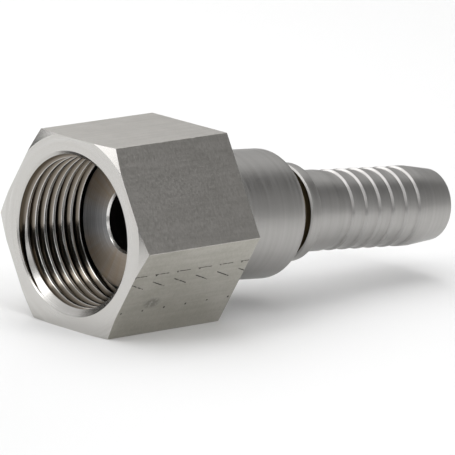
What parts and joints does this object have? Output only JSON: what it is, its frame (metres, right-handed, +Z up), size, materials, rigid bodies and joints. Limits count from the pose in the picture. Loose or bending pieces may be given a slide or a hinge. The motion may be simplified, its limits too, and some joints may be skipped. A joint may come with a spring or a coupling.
{
  "type": "face seal hose fitting",
  "caption": "Straight stainless hose fitting: a hexagon swivel nut with a female thread turns on a one-piece tail with a flat sealing face, crimp groove and ribbed hose end.",
  "frame": {"origin": "centre of the nut's front face, where the female thread opens", "axes": "+X along the nut from its open mouth towards the hose end, +Z up with the nut lying on one of its hexagon flats, Y to the side; the tail's own axis tips 4.35 degrees down from +X about the middle of the nut's rear hole"},
  "size_m": [0.0769, 0.0346, 0.03],
  "materials": {
    "nut_steel": "bright drawn hexagon bar with turned, faintly ringed end faces and a bright cut thread",
    "tail_steel": "fine turned stainless steel with bright rib edges and a darker sealing face"
  },
  "bodies": {
    "nut": {"swivel_nut": "nut_steel"},
    "tail": {"hose_tail": "tail_steel"}
  },
  "joints": [
    {"name": "swivel", "type": "hinge", "parent": "nut", "child": "tail", "pos_m": [0.02185, 0, 0], "axis": [0.9971, 0, -0.0758], "continuous": true}
  ]
}
